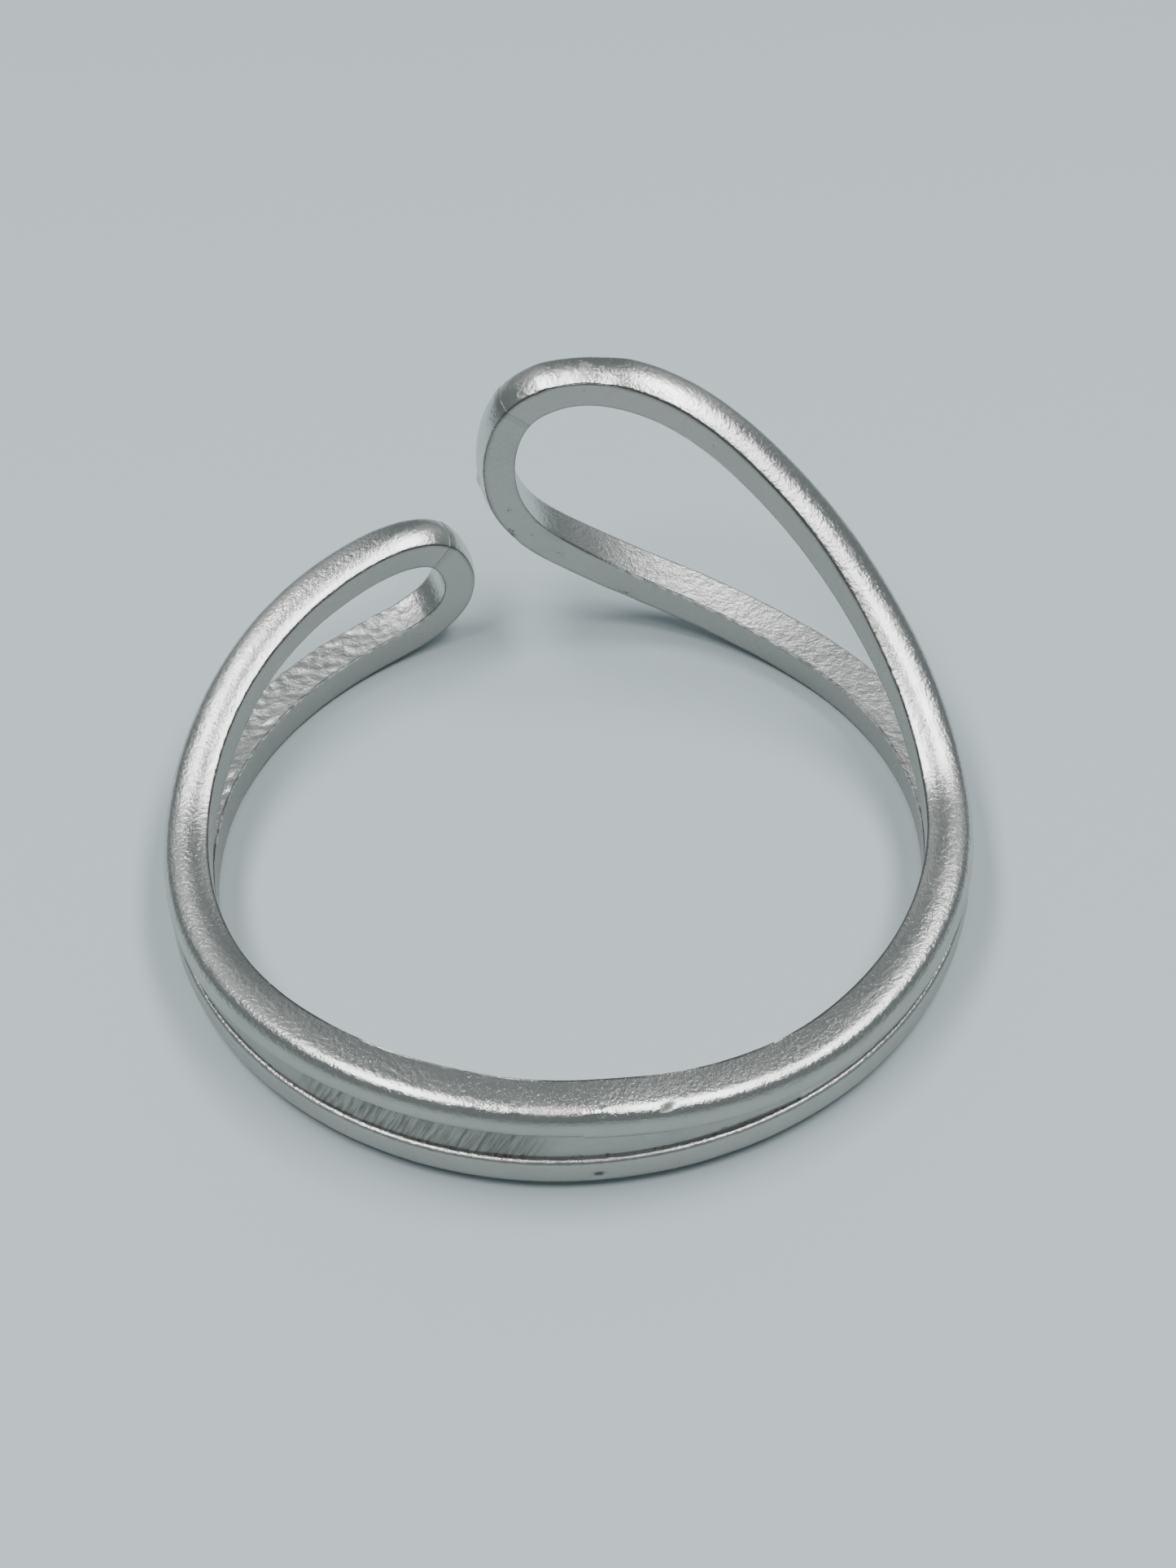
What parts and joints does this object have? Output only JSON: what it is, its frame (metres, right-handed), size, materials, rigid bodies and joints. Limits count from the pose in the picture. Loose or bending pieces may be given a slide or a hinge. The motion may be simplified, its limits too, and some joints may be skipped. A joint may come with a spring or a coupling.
{
  "type": "open loop finger ring",
  "caption": "Open, bend-to-fit finger ring of paired silver wires that part in front into a tall teardrop loop and a low eye loop, with a recessed web between the wires at the back.",
  "frame": {"origin": "on the axis of the finger hole, level with the surface that the ring lies on", "axes": "+Z along the finger axis, up from the surface; +Y from the seam behind the finger to the tips; +X towards the teardrop arm"},
  "size_m": [0.0195, 0.0196, 0.0083],
  "materials": {
    "wire": "polished silver, satin outside and hairline scratched",
    "web": "filed silver, left matt in the recess",
    "solder": "silver solder, dull"
  },
  "bodies": {
    "teardrop_arm": {"teardrop_upper_wire": "wire", "teardrop_lower_wire": "wire", "teardrop_tip_solder": "solder", "teardrop_back_web": "web", "teardrop_flank_solder": "solder"},
    "eye_arm": {"eye_upper_wire": "wire", "eye_lower_wire": "wire", "eye_tip_solder": "solder", "eye_back_web": "web", "eye_flank_solder": "solder"}
  },
  "joints": [
    {"name": "back_bend", "type": "hinge", "parent": "teardrop_arm", "child": "eye_arm", "pos_m": [0, -0.00975, 0.0012], "axis": [0, 0, 1], "range_deg": [-2, 12]}
  ]
}
